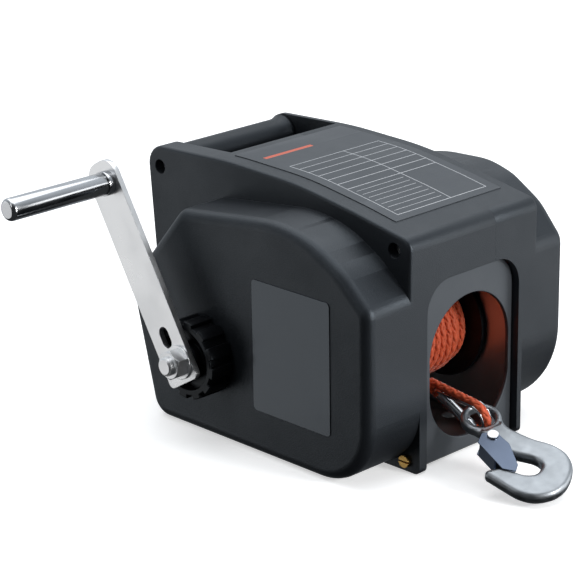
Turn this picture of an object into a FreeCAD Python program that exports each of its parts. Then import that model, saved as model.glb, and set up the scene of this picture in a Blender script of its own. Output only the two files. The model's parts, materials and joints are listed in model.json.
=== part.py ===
import FreeCAD, Part
import math
import os

os.makedirs("parts", exist_ok=True)
V = FreeCAD.Vector
far_side = 130.0            # beyond the widest part of the housing, for cutting tools

# Electric boat trailer winch with an emergency hand crank.  Millimetres.
# X runs from the crank side (-X) to the motor side (+X), -Y is the side the
# rope leaves, +Z is up, and the base rests on Z = 0.  Everything is laid out
# with Y = 0 at the front face; save() then moves Y = 0 to the middle of the
# four base holes.

# ---------------------------------------------------------------- driving dimensions
wall = 2.6                  # thickness of the plastic shells
split_x = 17.3              # joint between the left and right shells
top_left_width = 62.8       # upper side plates, from the plane of the drum's middle
top_right_width = 59.6
low_left_width = 53.7       # lower side plates
low_right_width = 45.6
bulge_left_x = 101.0        # outer face of the crank-side bulge
bulge_right_x = 89.0        # outer face of the motor-side bulge
top_edge_round = 2.4
bulge_left_round = 7.3
bulge_right_round = 9.0
bulge_left_low_round = 44.0     # lower front corner of each bulge
bulge_right_low_round = 65.0
side_step_z = 74.0          # where the wide upper sides step in to the lower ones
body_depth = 243.5          # front face to back face at the handle
front_top_z = 157.7         # height of the front top edge
front_top_round = 9.0
crest_z = 178.3             # highest line of the top
crest_y = 165.0
back_top_z = 175.7

recess_left = -46.8         # recessed front panel
recess_right = 41.5
recess_top = 127.0
recess_depth = 5.5
recess_corner = 21.0
panel_thick = 3.0
panel_gap = 0.3
panel_bottom = 2.5
mouth_width = 76.5          # oval rope mouth in the panel
mouth_height = 97.6
mouth_z = 59.7

label_thick = 0.5
side_label_y = (32.5, 102.0)
side_label_z = (31.5, 121.0)
side_label_round = 3.0
top_label_half = 50.0
top_label_y = (24.0, 170.0)

frame_thick = 3.0           # steel side plates and base plate
frame_left_x = -50.8        # outer face of the left steel plate
frame_right_x = 42.7        # outer face of the right steel plate
frame_front_y = recess_depth + panel_thick
frame_back_y = 224.0
frame_top_z = 138.0
base_thick = 4.0
base_hole_r = 4.5
base_hole_x = 28.0
base_hole_y = (48.0, 188.0)

drum_y = 66.0               # drum axis
drum_z = 67.0
drum_barrel_r = 15.0
drum_flange_r = 40.0
drum_flange_thick = 3.0
drum_side_gap = 1.0         # between each flange and its steel plate
drum_shaft_r = 8.0
rope_r = 2.9
rope_pack_r = 33.0          # wound rope, outer layer
rope_low_r = 30.0           # wound rope next to the right flange, one layer less
rope_low_width = 11.0

run_fit = 0.05              # radial running clearance of a shaft in its bush
bolt_play = 0.2             # radial clearance of a bolt in its hole
touch_gap = 0.3             # gap between parts of different bodies
bush_wall = 2.5

drum_teeth = 56
clutch_pinion_teeth = 26
drum_module = 2.0
clutch_gear_teeth = 52
middle_pinion_teeth = 14
clutch_module = 1.5
middle_gear_teeth = 40
motor_pinion_teeth = 12
motor_module = 1.25
clutch_z = 58.5
middle_angle = 110.0        # direction from the clutch shaft to the middle shaft
motor_angle = 20.0          # direction from the middle shaft to the motor shaft
layer_a = (-62.0, -54.0)    # drum gear and clutch pinion
layer_b = (-76.0, -66.5)    # clutch gear and middle pinion
layer_c = (-87.0, -79.5)    # middle gear and motor pinion
gear_plate_x = (-92.0, -89.5)

clutch_shaft_r = 8.0
clutch_thread_r = 6.0
knob_r = 27.0
knob_depth = 18.0
knob_flutes = 12
knob_ring_r = 20.5
arm_thick = 4.0
arm_width = 30.0
arm_radius = 127.0          # clutch axis to grip axis
arm_lean = 31.0             # degrees from straight up, towards the back
arm_top_end = 15.5          # arm beyond its grip axis
arm_low_end = 14.2          # arm beyond its clutch axis
arm_offset = 4.0            # middle line of the bar behind the line through its two axes
arm_top_round = 12.0
arm_low_round = 4.0
arm_slot_r = 4.6            # slot above the nut, where the loose arm is stowed
arm_slot_from = 15.6
arm_slot_length = 5.6
arm_slot_offset = 4.6
nut_flats = 18.0
nut_thick = 8.5
washer_r = 11.5
washer_thick = 1.6
bolt_end_x = -138.0
grip_r = 7.6
grip_length = 84.0
spindle_r = 4.0

handle_left = -46.0         # finger space of the carrying handle
handle_right = 54.0
handle_front_y = 178.0
handle_floor_z = 149.0
handle_deep_y = 203.0       # deeper room for the fingers under the bar
handle_deep_z = 124.0
handle_bar_r = 11.5
handle_rod_r = 4.0

screw_front = (13.7, 150.5)     # through screws of the two shells, y and z
screw_back = (231.0, 161.5)     # this one also carries the handle bar
screw_boss_r = 7.5
screw_bore_r = 5.0
screw_bore_depth = 11.0
screw_shank_r = 2.4
screw_cover = 2.0               # plastic left beyond the screw's blind hole
side_screw_front = (12.0, 7.0)
side_screw_back = (219.0, 14.0)
side_screw_head_r = 4.2

gland_x = 24.0              # power lead gland and remote control socket in the back wall
gland_z = 44.0
gland_hole_r = 6.2
socket_x = -24.0
socket_z = 44.0
socket_hole_r = 8.2

motor_r = 29.0
motor_wall = 2.5
motor_cap_r = 23.0
motor_cap_x = 72.0
motor_shaft_r = 4.0

eye_apex = V(-17.6, 24.0, 46.0)     # where the rope eye closes
hook_eye = V(-15.4, -18.0, 32.1)    # middle of the hook's eye
hook_normal = V(-0.244, -0.268, 0.932)
hook_thick = 9.0
hook_ring_thick = 7.0        # the eye of the hook is forged thinner than its blade
hook_hole_r = 9.0
hook_ring_r = 13.2
eye_length = 49.5           # apex to the rope's far bend
eye_bend_r = 10.5
thimble_thick = 1.1
thimble_apex = 12.0          # where the inside of the thimble closes, from the rope eye's apex


# ---------------------------------------------------------------- helpers
def save(shape, name):
    placed = shape.copy()
    placed.translate(V(0, -sum(base_hole_y) / 2, 0))
    placed.exportStep("parts/" + name + ".step")
    print(name, "solids", len(shape.Solids), "valid", shape.isValid(), "volume", round(shape.Volume))


def group(shapes):
    return Part.makeCompound(shapes)


def rod(x0, x1, y, z, radius):
    """Cylinder along X."""
    return Part.makeCylinder(radius, x1 - x0, V(x0, y, z), V(1, 0, 0))


def tube(x0, x1, y, z, outer, inner):
    return rod(x0, x1, y, z, outer).cut(rod(x0 - 1, x1 + 1, y, z, inner))


def block(x0, x1, y0, y1, z0, z1):
    return Part.makeBox(x1 - x0, y1 - y0, z1 - z0, V(x0, y0, z0))


def side_face(points):
    """Face in the Y-Z plane from (y, z) corner points."""
    corners = [V(0, y, z) for y, z in points]
    corners.append(corners[0])
    return Part.Face(Part.makePolygon(corners))


def extrude_x(face, x0, x1):
    moved = face.copy()
    moved.translate(V(x0, 0, 0))
    return moved.extrude(V(x1 - x0, 0, 0))


def slot_face(half_width, height, x, y, z):
    """Obround face in the X-Z plane."""
    straight = height / 2 - half_width
    left = x - half_width
    right = x + half_width
    low = z - straight
    high = z + straight
    edges = [
        Part.makeLine(V(right, y, low), V(right, y, high)),
        Part.Arc(V(right, y, high), V(x, y, z + height / 2), V(left, y, high)).toShape(),
        Part.makeLine(V(left, y, high), V(left, y, low)),
        Part.Arc(V(left, y, low), V(x, y, z - height / 2), V(right, y, low)).toShape(),
    ]
    return Part.Face(Part.Wire(edges))


def arch_face(x0, x1, z0, z1, corner, y):
    """Upright face in the X-Z plane with its two upper corners rounded."""
    k = corner * (1 - math.sqrt(0.5))
    edges = [
        Part.makeLine(V(x0, y, z0), V(x1, y, z0)),
        Part.makeLine(V(x1, y, z0), V(x1, y, z1 - corner)),
        Part.Arc(V(x1, y, z1 - corner), V(x1 - k, y, z1 - k), V(x1 - corner, y, z1)).toShape(),
        Part.makeLine(V(x1 - corner, y, z1), V(x0 + corner, y, z1)),
        Part.Arc(V(x0 + corner, y, z1), V(x0 + k, y, z1 - k), V(x0, y, z1 - corner)).toShape(),
        Part.makeLine(V(x0, y, z1 - corner), V(x0, y, z0)),
    ]
    return Part.Face(Part.Wire(edges))


def hexagon(x0, x1, y, z, flats):
    points = []
    for i in range(7):
        angle = math.radians(60 * i + arm_lean)
        size = flats / 2 / math.cos(math.radians(30))
        points.append(V(x0, y + size * math.cos(angle), z + size * math.sin(angle)))
    return Part.Face(Part.makePolygon(points)).extrude(V(x1 - x0, 0, 0))


def in_frame(shape, origin, u, v):
    """Moves a shape modelled in local (u, v, u x v) axes to its place."""
    w = u.cross(v)
    matrix = FreeCAD.Matrix(
        u.x, v.x, w.x, origin.x,
        u.y, v.y, w.y, origin.y,
        u.z, v.z, w.z, origin.z,
        0, 0, 0, 1)
    placed = shape.copy()
    placed.Placement = FreeCAD.Placement(matrix)
    return placed


# ---------------------------------------------------------------- gears
def gear_profile(teeth, module, phase):
    """Corner points (y, z) of an involute spur gear about the origin."""
    pitch_r = teeth * module / 2
    base_r = pitch_r * math.cos(math.radians(20))
    root_r = pitch_r - 1.2 * module
    tip_r = pitch_r + 0.85 * module
    play = 0.05 * module / pitch_r
    inv_pitch = math.tan(math.radians(20)) - math.radians(20)
    half = math.pi / 2 / teeth - play
    flank = []
    start_r = max(base_r, root_r)
    for i in range(4):
        radius = start_r + (tip_r - start_r) * i / 3
        pressure = math.acos(min(1.0, base_r / radius))
        flank.append((radius, half + inv_pitch - (math.tan(pressure) - pressure)))
    if root_r < base_r:
        flank.insert(0, (root_r, flank[0][1] + 0.12 * half))
    points = []
    for tooth in range(teeth):
        middle = phase + 2 * math.pi * tooth / teeth
        for radius, offset in flank:
            points.append((radius, middle - offset))
        for radius, offset in reversed(flank):
            points.append((radius, middle + offset))
    return points


def gear(x_range, y, z, teeth, module, phase, bore, hub_r=0.0, hub_to=None):
    points = []
    for radius, angle in gear_profile(teeth, module, phase):
        points.append(V(x_range[0], y + radius * math.cos(angle), z + radius * math.sin(angle)))
    points.append(points[0])
    solid = Part.Face(Part.makePolygon(points)).extrude(V(x_range[1] - x_range[0], 0, 0))
    if hub_to is not None:
        solid = solid.fuse(rod(min(x_range[0], hub_to), max(x_range[1], hub_to), y, z, hub_r))
    return solid.cut(rod(x_range[0] - 40, x_range[1] + 40, y, z, bore))


def lightened(solid, x_range, y, z, ring_r, hole_r, count):
    for i in range(count):
        angle = 2 * math.pi * i / count
        hole_y = y + ring_r * math.cos(angle)
        hole_z = z + ring_r * math.sin(angle)
        solid = solid.cut(rod(x_range[0] - 1, x_range[1] + 1, hole_y, hole_z, hole_r))
    return solid


def meshing_phase(direction, phase, teeth, mate_teeth, module):
    """Phase of the mate so that its gap meets the tooth on the line of centres."""
    pitch_r = teeth * module / 2
    mate_r = mate_teeth * module / 2
    shift = pitch_r * (phase - direction) + math.pi * module / 2
    return direction + math.pi - shift / mate_r


clutch_reach = (drum_teeth + clutch_pinion_teeth) * drum_module / 2
clutch_y = drum_y + math.sqrt(clutch_reach ** 2 - (clutch_z - drum_z) ** 2)
middle_reach = (clutch_gear_teeth + middle_pinion_teeth) * clutch_module / 2
middle_y = clutch_y + middle_reach * math.cos(math.radians(middle_angle))
middle_z = clutch_z + middle_reach * math.sin(math.radians(middle_angle))
motor_reach = (middle_gear_teeth + motor_pinion_teeth) * motor_module / 2
motor_y = middle_y + motor_reach * math.cos(math.radians(motor_angle))
motor_z = middle_z + motor_reach * math.sin(math.radians(motor_angle))
print("clutch axis", round(clutch_y, 3), clutch_z)
print("middle axis", round(middle_y, 3), round(middle_z, 3))
print("motor axis", round(motor_y, 3), round(motor_z, 3))


# ---------------------------------------------------------------- shells
left_front = [(0, 121, 12.0), (24, 142.5, 60.0), (51, 157.5, 80.0), (82, 163, 100.0)]
right_front = [(0, 127.5, 14.0), (18.5, 149.0, 40.0), (42, 163.5, 40.0), (62, 169.5, 60.0), (100, 168.0, 100.0)]


def rounded_outline(corners):
    """Face in the Y-Z plane: straight sides and a tangent arc of radius r at each (y, z, r)."""
    count = len(corners)
    spans = []
    for k in range(count):
        here = V(0, corners[k][0], corners[k][1])
        before = V(0, corners[k - 1][0], corners[k - 1][1]) - here
        after = V(0, corners[(k + 1) % count][0], corners[(k + 1) % count][1]) - here
        before.normalize()
        after.normalize()
        half = before.getAngle(after) / 2
        reach = corners[k][2] / math.tan(half)
        bisector = before + after
        bisector.normalize()
        middle = here + bisector * (corners[k][2] / math.sin(half) - corners[k][2])
        spans.append((here + before * reach, middle, here + after * reach))
    edges = []
    for k in range(count):
        start, middle, end = spans[k]
        edges.append(Part.Arc(start, middle, end).toShape())
        edges.append(Part.makeLine(end, spans[(k + 1) % count][0]))
    return Part.Face(Part.Wire(edges))


def inset_face(face, inset):
    if inset == 0:
        return face
    return face.makeOffset2D(-inset)


def body_profile(inset):
    """Side outline of the central body, y and z."""
    back = body_depth
    outline = rounded_outline([
        (0, 0, 4.0),
        (0, front_top_z + 1.4, front_top_round),
        (50, crest_z - 9.7, 300.0),
        (100, crest_z - 1.9, 300.0),
        (crest_y, crest_z + 0.4, 400.0),
        (back + 1, back_top_z - 0.5, 14.0),
        (back - 12, 0, 5.0),
    ])
    return inset_face(outline, inset)


def bulge_profile(inset, front, low_round):
    """Side outline of a bulge, y and z: its own front top, and the back that both share."""
    outline = rounded_outline([(0, 0, low_round)] + front + [
        (171, 152.5, 13.0),
        (224, 91, 11.0),
        (201.5, 0, 15.0),
    ])
    return inset_face(outline, inset)


def rounded_bulge(profile, x_out, x_in, round_r):
    prism = extrude_x(profile, min(x_out, x_in), max(x_out, x_in))
    outer_edges = []
    for edge in prism.Edges:
        if abs(edge.BoundBox.XMin - x_out) < 1e-4 and abs(edge.BoundBox.XMax - x_out) < 1e-4:
            outer_edges.append(edge)
    return prism.makeFillet(round_r, outer_edges)


def filled_body(inset):
    """Whole housing as one solid, inset by the given amount."""
    i = inset
    profile = body_profile(i)
    upper = extrude_x(profile, -top_left_width + i, top_right_width - i)
    long_edges = []
    for edge in upper.Edges:
        box = edge.BoundBox
        if box.XLength < 1e-4 and box.ZMin > back_top_z - 40:
            long_edges.append(edge)
    upper = upper.makeFillet(top_edge_round - i * 0.6, long_edges)
    upper = upper.common(block(-200, 200, -10, 300, side_step_z + i, 200))
    lower = extrude_x(profile, -low_left_width + i, low_right_width - i)
    lower = lower.common(block(-200, 200, -10, 300, -10, side_step_z + i + 1))
    left = rounded_bulge(bulge_profile(i, left_front, bulge_left_low_round),
                         -bulge_left_x + i, -20, bulge_left_round - i * 0.8)
    right = rounded_bulge(bulge_profile(i, right_front, bulge_right_low_round),
                          bulge_right_x - i, 20, bulge_right_round - i * 0.8)
    return upper.fuse([lower, left, right]).removeSplitter()


def recess_cut(grow, y0, y1):
    face = arch_face(recess_left - grow, recess_right + grow, -5, recess_top + grow,
                     recess_corner + grow, y0)
    return face.extrude(V(0, y1 - y0, 0))


def handle_space(grow):
    """Finger space in front of the handle bar and under it, open at the top and the back."""
    front = block(handle_left - grow, handle_right + grow, handle_front_y - grow, body_depth + 10,
                  handle_floor_z - grow, 220)
    deep = block(handle_left - grow, handle_right + grow, handle_deep_y - grow, body_depth + 10,
                 handle_deep_z - grow, 220)
    return front.fuse(deep)


def shells():
    outer = filled_body(0.0)
    inner = filled_body(wall)
    pocket_walls = handle_space(wall).common(outer)
    rim = recess_cut(wall, 0, frame_front_y).common(outer)
    shell = outer.cut(inner).fuse([pocket_walls, rim])
    for y, z in (screw_front, screw_back):
        boss = rod(-top_left_width + 1, top_right_width - 1, y, z, screw_boss_r).common(outer)
        shell = shell.fuse(boss)
    shell = shell.cut(recess_cut(0, -5, frame_front_y + 1))
    shell = shell.cut(handle_space(0))
    shell = shell.cut(block(frame_left_x - 0.3, frame_right_x + 0.3, frame_front_y - 0.3,
                            frame_back_y + 0.3, -1, wall + 1))
    shell = shell.cut(rod(-130, -60, clutch_y, clutch_z, clutch_shaft_r + 3.2))
    for y, z in (screw_front, screw_back):
        shell = shell.cut(rod(-far_side, -top_left_width + screw_bore_depth, y, z, screw_bore_r))
        shell = shell.cut(rod(-far_side, top_right_width - screw_cover, y, z, screw_shank_r + bolt_play))
    for sign, y, z in side_screw_places():
        shell = shell.cut(rod(min(0, sign * 80), max(0, sign * 80), y, z, 2.1))
    shell = shell.cut(tube_y(gland_x, gland_z, body_depth - 30, body_depth + 5, gland_hole_r))
    shell = shell.cut(tube_y(socket_x, socket_z, body_depth - 30, body_depth + 5, socket_hole_r))
    left = shell.common(block(-200, split_x, -20, 300, -10, 220))
    right = shell.common(block(split_x, 200, -20, 300, -10, 220))
    return left, right


def tube_y(x, z, y0, y1, radius):
    return Part.makeCylinder(radius, y1 - y0, V(x, y0, z), V(0, 1, 0))


def side_screw_places():
    return [(side, y, z) for side in (-1, 1) for y, z in (side_screw_front, side_screw_back)]


def side_screws():
    """Brass screws that fasten the lower sides of the shells to the steel plates."""
    made = []
    for sign, y, z in side_screw_places():
        skin = low_left_width if sign < 0 else low_right_width
        head_in = sign * skin
        head_out = sign * (skin + 2.4)
        head = rod(min(head_in, head_out), max(head_in, head_out), y, z, side_screw_head_r)
        tip = sign * (skin - 9.0)
        shank = rod(min(head_in, tip), max(head_in, tip), y, z, 2.0)
        slot = block(min(head_out, sign * (skin + 1.2)), max(head_out, sign * (skin + 1.2)),
                     y - 6, y + 6, z - 0.5, z + 0.5)
        made.append(head.fuse(shank).cut(slot))
    return made


# ---------------------------------------------------------------- front panel and labels
def fairlead_panel():
    face = arch_face(recess_left + panel_gap, recess_right - panel_gap, panel_bottom,
                     recess_top - panel_gap, recess_corner, recess_depth)
    plate = face.extrude(V(0, panel_thick, 0))
    mouth = slot_face(mouth_width / 2, mouth_height, 0, recess_depth - 5, mouth_z)
    plate = plate.cut(mouth.extrude(V(0, 20, 0)))
    return plate.cut(rod(-80, 80, screw_front[0], screw_front[1], screw_boss_r + panel_gap))


def side_label():
    """Smooth label plate on the crank-side bulge."""
    plate = block(-bulge_left_x - label_thick, -bulge_left_x, side_label_y[0], side_label_y[1],
                  side_label_z[0], side_label_z[1])
    corners = [e for e in plate.Edges if abs(e.BoundBox.XLength - label_thick) < 1e-6]
    return plate.makeFillet(side_label_round, corners)


def top_label(outer_profile):
    """Thin data plate lying on the curved top."""
    slab = extrude_x(outer_profile, -top_label_half, top_label_half)
    raised = slab.copy()
    raised.translate(V(0, 0, label_thick))
    strip = raised.cut(slab)
    return strip.common(block(-top_label_half, top_label_half, top_label_y[0], top_label_y[1],
                              front_top_z - 10, crest_z + 10))


# ---------------------------------------------------------------- steel frame
def drum_hole():
    return rod(-60, 60, drum_y, drum_z, drum_shaft_r + run_fit + bush_wall)


tie_places = [(26.0, 126.0), (112.0, 16.0), (166.0, 14.0), (208.0, 100.0)]
tie_r = 6.0
post_places = [(32.0, 132.0), (100.0, 145.0), (128.0, 12.0), (192.0, 34.0)]
post_r = 4.0
bolt_r = 2.5


def frame_profile(front_y):
    return side_face([
        (front_y, base_thick), (front_y, 112), (40, frame_top_z), (192, frame_top_z),
        (199, 114), (frame_back_y, 108), (frame_back_y, base_thick),
    ])


def frame_plate(x0, motor_hole_r):
    plate = extrude_x(frame_profile(frame_front_y), x0, x0 + frame_thick)
    plate = plate.cut(drum_hole())
    plate = plate.cut(rod(-60, 60, motor_y, motor_z, motor_hole_r))
    for y, z in tie_places:
        plate = plate.cut(rod(-60, 60, y, z, bolt_r + bolt_play))
    for sign, y, z in side_screw_places():
        plate = plate.cut(rod(-60, 60, y, z, 2.0))
    return plate


def left_frame_plate():
    plate = frame_plate(frame_left_x, motor_shaft_r + run_fit + bush_wall)
    plate = plate.cut(rod(-60, 0, clutch_y, clutch_z, clutch_shaft_r + run_fit + bush_wall))
    plate = plate.cut(rod(-60, 0, middle_y, middle_z, 5 + run_fit + bush_wall))
    for y, z in post_places:
        if z < frame_top_z:
            plate = plate.cut(rod(-60, 0, y, z, bolt_r + bolt_play))
    return plate


def base_plate():
    plate = block(frame_left_x, frame_right_x, frame_front_y, frame_back_y, 0, base_thick)
    for x in (-base_hole_x, base_hole_x):
        for y in base_hole_y:
            plate = plate.cut(Part.makeCylinder(base_hole_r, 20, V(x, y, -5), V(0, 0, 1)))
    return plate


def tie_rods():
    inner_left = frame_left_x + frame_thick
    inner_right = frame_right_x - frame_thick
    made = []
    for y, z in tie_places:
        made.append(tube(inner_left, inner_right, y, z, tie_r, bolt_r + bolt_play))
    return made


def tie_bolts():
    made = []
    for y, z in tie_places:
        shank = rod(frame_left_x - 2.2, frame_right_x + 0.5, y, z, bolt_r)
        made.append(shank.fuse(rod(frame_left_x - 2.4, frame_left_x, y, z, 4.6)))
    return made


def gear_plate():
    outline = side_face([
        (24, 24), (20, 128), (36, 142), (96, 153), (150, 146), (176, 134),
        (206, 84), (198, 26), (186, 7), (118, 5), (44, 8),
    ])
    plate = extrude_x(outline, gear_plate_x[0], gear_plate_x[1])
    plate = plate.cut(rod(-100, -80, clutch_y, clutch_z, clutch_shaft_r + run_fit + bush_wall))
    plate = plate.cut(rod(-100, -80, middle_y, middle_z, 5 + run_fit + bush_wall))
    plate = plate.cut(rod(-100, -80, motor_y, motor_z, motor_shaft_r + run_fit + bush_wall))
    for y, z in post_places:
        plate = plate.cut(rod(-100, -80, y, z, bolt_r + bolt_play))
    return plate


def gear_posts():
    made = []
    for y, z in post_places:
        foot = frame_left_x
        made.append(tube(gear_plate_x[1], foot, y, z, post_r, bolt_r + bolt_play))
    return made


def gear_screws():
    made = []
    for y, z in post_places:
        shank = rod(gear_plate_x[0] - 1, frame_left_x - 3, y, z, bolt_r)
        made.append(shank.fuse(rod(gear_plate_x[0] - 2.4, gear_plate_x[0], y, z, 4.4)))
    return made


# ---------------------------------------------------------------- drum
drum_left = frame_left_x + frame_thick + drum_side_gap
drum_right = frame_right_x - frame_thick - drum_side_gap


def drum_spool():
    barrel = rod(drum_left, drum_right, drum_y, drum_z, drum_barrel_r)
    left = rod(drum_left, drum_left + drum_flange_thick, drum_y, drum_z, drum_flange_r)
    right = rod(drum_right - drum_flange_thick, drum_right, drum_y, drum_z, drum_flange_r)
    spool = barrel.fuse([left, right])
    return spool.cut(rod(-100, 100, drum_y, drum_z, drum_shaft_r))


def rope_pack():
    x0 = drum_left + drum_flange_thick
    x1 = drum_right - drum_flange_thick
    main = rod(x0, x1 - rope_low_width, drum_y, drum_z, rope_pack_r)
    low = rod(x1 - rope_low_width, x1, drum_y, drum_z, rope_low_r)
    return main.fuse(low).cut(rod(-100, 100, drum_y, drum_z, drum_barrel_r))


def drum_shaft():
    shaft = rod(layer_a[0] - 4, frame_right_x + 4.0, drum_y, drum_z, drum_shaft_r)
    for x in (layer_a[0] - 2.6, frame_right_x + 1.4):
        shaft = shaft.cut(tube(x, x + 1.2, drum_y, drum_z, drum_shaft_r + 1, drum_shaft_r - 1))
    return shaft


def drum_clips():
    made = []
    for x in (layer_a[0] - 2.6, frame_right_x + 1.4):
        ring = tube(x, x + 1.2, drum_y, drum_z, drum_shaft_r + 2.6, drum_shaft_r - 1)
        made.append(ring.cut(block(x - 1, x + 3, drum_y - 4, drum_y + 4, drum_z, drum_z + 20)))
    return made


def bush(x0, x1, y, z, shaft_r):
    return tube(x0, x1, y, z, shaft_r + run_fit + bush_wall, shaft_r + run_fit)


# ---------------------------------------------------------------- clutch, crank and gears
knob_in_x = -bulge_left_x - 0.6
knob_out_x = knob_in_x - knob_depth
arm_in_x = knob_out_x - 0.5
arm_out_x = arm_in_x - arm_thick
washer_out_x = arm_out_x - washer_thick
nut_out_x = washer_out_x - nut_thick
arm_dir_y = math.sin(math.radians(arm_lean))
arm_dir_z = math.cos(math.radians(arm_lean))
grip_y = clutch_y + arm_radius * arm_dir_y
grip_z = clutch_z + arm_radius * arm_dir_z


def flatted_neck(x0, x1):
    """Threaded end with two flats, turned to the lean of the crank arm."""
    flats = clutch_thread_r - 1.0
    flat_block = block(x0, x1, clutch_y - flats, clutch_y + flats, clutch_z - clutch_thread_r,
                       clutch_z + clutch_thread_r)
    neck = rod(x0, x1, clutch_y, clutch_z, clutch_thread_r).common(flat_block)
    neck.rotate(V(0, clutch_y, clutch_z), V(1, 0, 0), -arm_lean)
    return neck


def clutch_shaft():
    main = rod(arm_in_x, frame_left_x + frame_thick, clutch_y, clutch_z, clutch_shaft_r)
    thread = rod(bolt_end_x, arm_out_x, clutch_y, clutch_z, clutch_thread_r)
    tip = [e for e in thread.Edges if abs(e.BoundBox.XMin - bolt_end_x) < 1e-4
           and e.BoundBox.XLength < 1e-4]
    return main.fuse([thread.makeChamfer(1.0, tip), flatted_neck(arm_out_x, arm_in_x)])


def clutch_knob():
    """Fluted knob with a recessed ring face."""
    solid = rod(knob_out_x, knob_in_x, clutch_y, clutch_z, knob_r - 2.6)
    for i in range(knob_flutes):
        angle = 2 * math.pi * (i + 0.25) / knob_flutes
        rib = block(knob_out_x, knob_in_x, clutch_y - 4.0, clutch_y + 4.0, clutch_z, clutch_z + knob_r)
        rib = rib.common(rod(knob_out_x, knob_in_x, clutch_y, clutch_z, knob_r))
        rib.rotate(V(0, clutch_y, clutch_z), V(1, 0, 0), math.degrees(angle))
        solid = solid.fuse(rib)
    solid = solid.removeSplitter()
    solid = solid.cut(tube(knob_out_x - 1, knob_out_x + 5, clutch_y, clutch_z,
                           knob_ring_r, clutch_shaft_r + 4))
    solid = solid.cut(rod(-200, 0, clutch_y, clutch_z, clutch_shaft_r + run_fit))
    return solid


def crank_arm():
    """Flat bar, modelled upright and leaned back about the clutch axis."""
    half = arm_width / 2
    y = clutch_y
    z = clutch_z
    middle = y + arm_offset
    bar = block(arm_out_x, arm_in_x, middle - half, middle + half, z - arm_low_end,
                z + arm_radius + arm_top_end)
    top = [e for e in bar.Edges if e.BoundBox.YLength + e.BoundBox.ZLength < 1e-6
           and e.BoundBox.ZMax > z + arm_radius]
    bar = bar.makeFillet(arm_top_round, top)
    low = [e for e in bar.Edges if e.BoundBox.YLength + e.BoundBox.ZLength < 1e-6
           and e.BoundBox.ZMax < z]
    bar = bar.makeFillet(arm_low_round, low)
    cut_from = arm_out_x - 1
    cut_to = arm_in_x + 1
    slot_y = y + arm_slot_offset
    slot_low = z + arm_slot_from
    slot_high = slot_low + arm_slot_length
    slot = rod(cut_from, cut_to, slot_y, slot_low, arm_slot_r)
    slot = slot.fuse(rod(cut_from, cut_to, slot_y, slot_high, arm_slot_r))
    slot = slot.fuse(block(cut_from, cut_to, slot_y - arm_slot_r, slot_y + arm_slot_r, slot_low, slot_high))
    bar = bar.cut(slot)
    bar.rotate(V(0, y, z), V(1, 0, 0), -arm_lean)
    bar = bar.cut(flatted_neck(cut_from, cut_to))
    return bar.cut(rod(cut_from, cut_to, grip_y, grip_z, spindle_r))


def crank_nut():
    nut = hexagon(nut_out_x, washer_out_x, clutch_y, clutch_z, nut_flats)
    size = nut_flats / 2 / math.cos(math.radians(30))
    cone = Part.makeCone(size - 1.6, size + nut_thick - 1.6, nut_thick,
                         V(nut_out_x, clutch_y, clutch_z), V(1, 0, 0))
    return nut.common(cone).cut(rod(nut_out_x - 1, washer_out_x + 1, clutch_y, clutch_z, clutch_thread_r))


def grip_spindle():
    head = rod(arm_in_x, arm_in_x + 2.2, grip_y, grip_z, 6.5)
    body = rod(arm_out_x - grip_length + 6, arm_in_x, grip_y, grip_z, spindle_r)
    collar = rod(arm_out_x - 5.0, arm_out_x, grip_y, grip_z, 8.3)
    return head.fuse([body, collar])


def crank_grip():
    x1 = arm_out_x - 5.0 - touch_gap
    x0 = arm_out_x - grip_length
    solid = rod(x0, x1, grip_y, grip_z, grip_r)
    tip = [e for e in solid.Edges if abs(e.BoundBox.XMin - x0) < 1e-4 and e.BoundBox.XLength < 1e-4]
    solid = solid.makeFillet(3.0, tip)
    bore_end = arm_out_x - grip_length + 6 - touch_gap
    return solid.cut(rod(bore_end, x1 + 1, grip_y, grip_z, spindle_r + run_fit))


def motor_can():
    x0 = frame_left_x + frame_thick
    x1 = frame_right_x - frame_thick
    can = rod(x0, x1, motor_y, motor_z, motor_r)
    can = can.cut(rod(x0 + 3, x1 - 3, motor_y, motor_z, motor_r - motor_wall))
    return can.cut(rod(x0 - 1, x1 + 1, motor_y, motor_z, motor_shaft_r + run_fit + bush_wall))


def motor_magnets():
    x0 = frame_left_x + frame_thick + 14
    x1 = frame_right_x - frame_thick - 14
    ring = tube(x0, x1, motor_y, motor_z, motor_r - motor_wall, motor_r - motor_wall - 4.5)
    gap = block(x0 - 1, x1 + 1, motor_y - 5, motor_y + 5, motor_z - 40, motor_z + 40)
    return ring.cut(gap).Solids


def motor_end_cap():
    x0 = frame_right_x - frame_thick
    cap = rod(x0, motor_cap_x, motor_y, motor_z, motor_cap_r)
    cap = cap.cut(rod(x0 - 1, motor_cap_x - 2.5, motor_y, motor_z, motor_cap_r - 2.5))
    edge = [e for e in cap.Edges if abs(e.BoundBox.XMax - motor_cap_x) < 1e-4
            and e.BoundBox.XLength < 1e-4]
    return cap.makeFillet(1.8, edge)


def motor_armature():
    x0 = frame_left_x + frame_thick + 16
    x1 = frame_right_x - frame_thick - 16
    core = rod(x0, x1, motor_y, motor_z, 20.0)
    for i in range(12):
        angle = math.radians(30 * i)
        y = motor_y + 20.0 * math.cos(angle)
        z = motor_z + 20.0 * math.sin(angle)
        core = core.cut(rod(x0 - 1, x1 + 1, y, z, 1.8))
    core = core.fuse(rod(x1, x1 + 10, motor_y, motor_z, 9.0))
    return core.cut(rod(x0 - 20, x1 + 20, motor_y, motor_z, motor_shaft_r))


def motor_shaft():
    return rod(gear_plate_x[0] - 0.5, frame_right_x + 8.0, motor_y, motor_z, motor_shaft_r)


# ---------------------------------------------------------------- handle and inlets
def handle_bar():
    """Plastic sleeve between the two ears."""
    return tube(handle_left, handle_right, screw_back[0], screw_back[1], handle_bar_r, handle_rod_r)


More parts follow.
